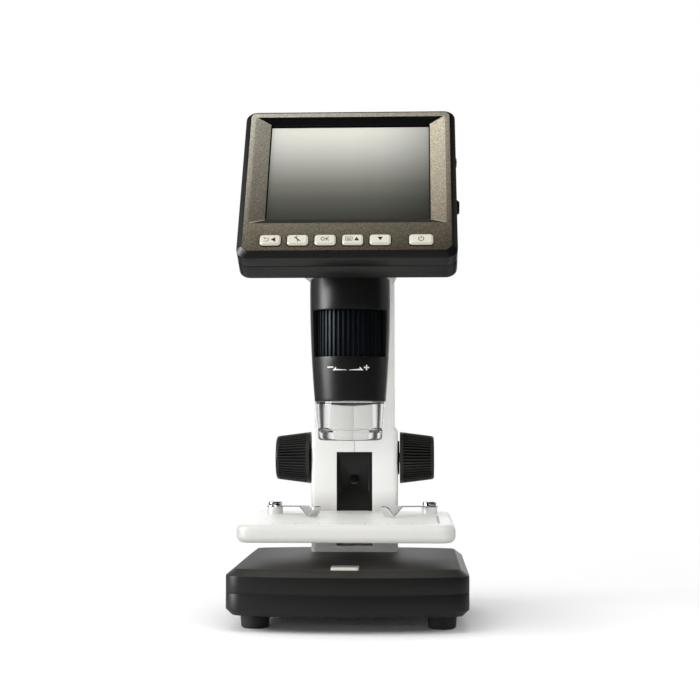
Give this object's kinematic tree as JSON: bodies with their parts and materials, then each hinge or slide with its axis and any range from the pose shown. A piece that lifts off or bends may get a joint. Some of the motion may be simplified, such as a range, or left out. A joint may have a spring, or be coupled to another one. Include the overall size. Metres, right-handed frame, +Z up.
{
  "type": "lcd digital microscope",
  "caption": "Desktop digital microscope: tilted LCD head with keys, lens tube with focus ring and clear cap, and a rack-driven stage with spring clips on a weighted base.",
  "frame": {"origin": "centre of the object's bounding box, on the plane that the feet stand on", "axes": "+Z up along the column, -Y towards the user and the screen, +X to the object's right seen from the front"},
  "size_m": [0.1072, 0.132, 0.2377],
  "materials": {
    "white_plastic": "satin moulded, slightly warm white",
    "black_plastic": "fine-grained moulded",
    "grip_plastic": "ribbed moulded grip",
    "bezel_bronze": "metallic bronze paint, satin",
    "lcd_glass": "gloss screen surface",
    "key_cream": "satin cream",
    "chrome": "polished",
    "steel": "turned",
    "dark_steel": "plain ballast plate",
    "brass": "cut gear teeth",
    "rubber": "moulded",
    "clear_plastic": "clear moulded acrylic",
    "lens_glass": "coated lens",
    "board_green": "solder mask",
    "lamp_white": "diffusing lamp body",
    "cell_wrap": "shrink wrap"
  },
  "bodies": {
    "stand": {"base_upper_shell": "black_plastic", "base_lower_shell": "black_plastic", "rubber_feet": "rubber", "ballast_plate": "dark_steel", "base_screws": "steel", "capture_board": "board_green", "column_left_shell": "white_plastic", "column_right_shell": "white_plastic", "column_screws": "steel", "column_base_screws": "steel", "guide_rods": "steel", "left_shaft_bush": "black_plastic", "right_shaft_bush": "black_plastic", "tube_housing": "black_plastic", "ring_retainer": "black_plastic", "sensor_board": "board_green", "led_board": "board_green", "led_lamps": "lamp_white", "clear_cap": "clear_plastic", "head_front_shell": "black_plastic", "head_rear_shell": "black_plastic", "head_bezel": "bezel_bronze", "lcd_panel": "lcd_glass", "lcd_frame": "steel", "dimmer_axle": "steel", "side_switch": "board_green", "button_board": "board_green", "main_board": "board_green", "battery": "cell_wrap", "port_sockets": "steel", "head_screws": "steel", "head_mount_screws": "steel"},
    "stage": {"carriage": "black_plastic", "carriage_screw": "grip_plastic", "focus_rack": "black_plastic", "stage_bracket": "white_plastic", "stage_plate": "white_plastic", "stage_screws": "steel", "clip_screws": "chrome"},
    "focus_drive": {"pinion_shaft": "steel", "pinion_gear": "brass", "left_knob": "grip_plastic", "right_knob": "grip_plastic"},
    "focus_ring": {"focus_ring": "grip_plastic"},
    "lens_cell": {"lens_barrel": "black_plastic", "barrel_lenses": "lens_glass"},
    "left_clip": {"left_clip": "chrome"},
    "right_clip": {"right_clip": "chrome"},
    "back_key": {"back_key": "key_cream"},
    "menu_key": {"menu_key": "key_cream"},
    "ok_key": {"ok_key": "key_cream"},
    "mode_key": {"mode_key": "key_cream"},
    "down_key": {"down_key": "key_cream"},
    "power_key": {"power_key": "key_cream"},
    "capture_button": {"capture_button": "key_cream"},
    "side_button": {"side_button": "grip_plastic"},
    "dimmer_wheel": {"dimmer_wheel": "grip_plastic"}
  },
  "joints": [
    {"name": "stage_lift", "type": "slide", "parent": "stand", "child": "stage", "axis": [0, 0, 1], "range_m": [-0.008, 0.024]},
    {"name": "knob_turn", "type": "hinge", "parent": "stand", "child": "focus_drive", "pos_m": [0, 0.047, 0.0736], "axis": [1, 0, 0], "range_deg": [-247, 83]},
    {"name": "focus_ring_turn", "type": "hinge", "parent": "stand", "child": "focus_ring", "pos_m": [0, -0.014, 0.13225], "axis": [0, 0, 1], "range_deg": [-140, 140]},
    {"name": "lens_travel", "type": "slide", "parent": "stand", "child": "lens_cell", "axis": [0, 0, 1], "range_m": [-0.003, 0.003]},
    {"name": "left_clip_swivel", "type": "hinge", "parent": "stage", "child": "left_clip", "pos_m": [-0.0368, 0.008, 0.05155], "axis": [0, 0, 1], "range_deg": [-45, 15]},
    {"name": "right_clip_swivel", "type": "hinge", "parent": "stage", "child": "right_clip", "pos_m": [0.0368, 0.008, 0.05155], "axis": [0, 0, 1], "range_deg": [-15, 45]},
    {"name": "back_key_press", "type": "slide", "parent": "stand", "child": "back_key", "axis": [0, 0.8616, -0.5075], "range_m": [0, 0.0007], "stiffness_N_per_m": 600},
    {"name": "menu_key_press", "type": "slide", "parent": "stand", "child": "menu_key", "axis": [0, 0.8616, -0.5075], "range_m": [0, 0.0007], "stiffness_N_per_m": 600},
    {"name": "ok_key_press", "type": "slide", "parent": "stand", "child": "ok_key", "axis": [0, 0.8616, -0.5075], "range_m": [0, 0.0007], "stiffness_N_per_m": 600},
    {"name": "mode_key_press", "type": "slide", "parent": "stand", "child": "mode_key", "axis": [0, 0.8616, -0.5075], "range_m": [0, 0.0007], "stiffness_N_per_m": 600},
    {"name": "down_key_press", "type": "slide", "parent": "stand", "child": "down_key", "axis": [0, 0.8616, -0.5075], "range_m": [0, 0.0007], "stiffness_N_per_m": 600},
    {"name": "power_key_press", "type": "slide", "parent": "stand", "child": "power_key", "axis": [0, 0.8616, -0.5075], "range_m": [0, 0.0007], "stiffness_N_per_m": 600},
    {"name": "capture_press", "type": "slide", "parent": "stand", "child": "capture_button", "axis": [0, 0, -1], "range_m": [0, 0.0008], "stiffness_N_per_m": 600},
    {"name": "side_press", "type": "slide", "parent": "stand", "child": "side_button", "axis": [-1, 0, 0], "range_m": [0, 0.0008], "stiffness_N_per_m": 600},
    {"name": "dimmer_turn", "type": "hinge", "parent": "stand", "child": "dimmer_wheel", "pos_m": [0.04165, -0.01543, 0.21198], "axis": [0, -0.8616, 0.5075], "range_deg": [-130, 130]}
  ],
  "couplings": [
    {"joint": "knob_turn", "follows": "stage_lift", "rad_per_m": -178.57},
    {"joint": "lens_travel", "follows": "focus_ring_turn", "m_per_rad": 0.0012}
  ]
}
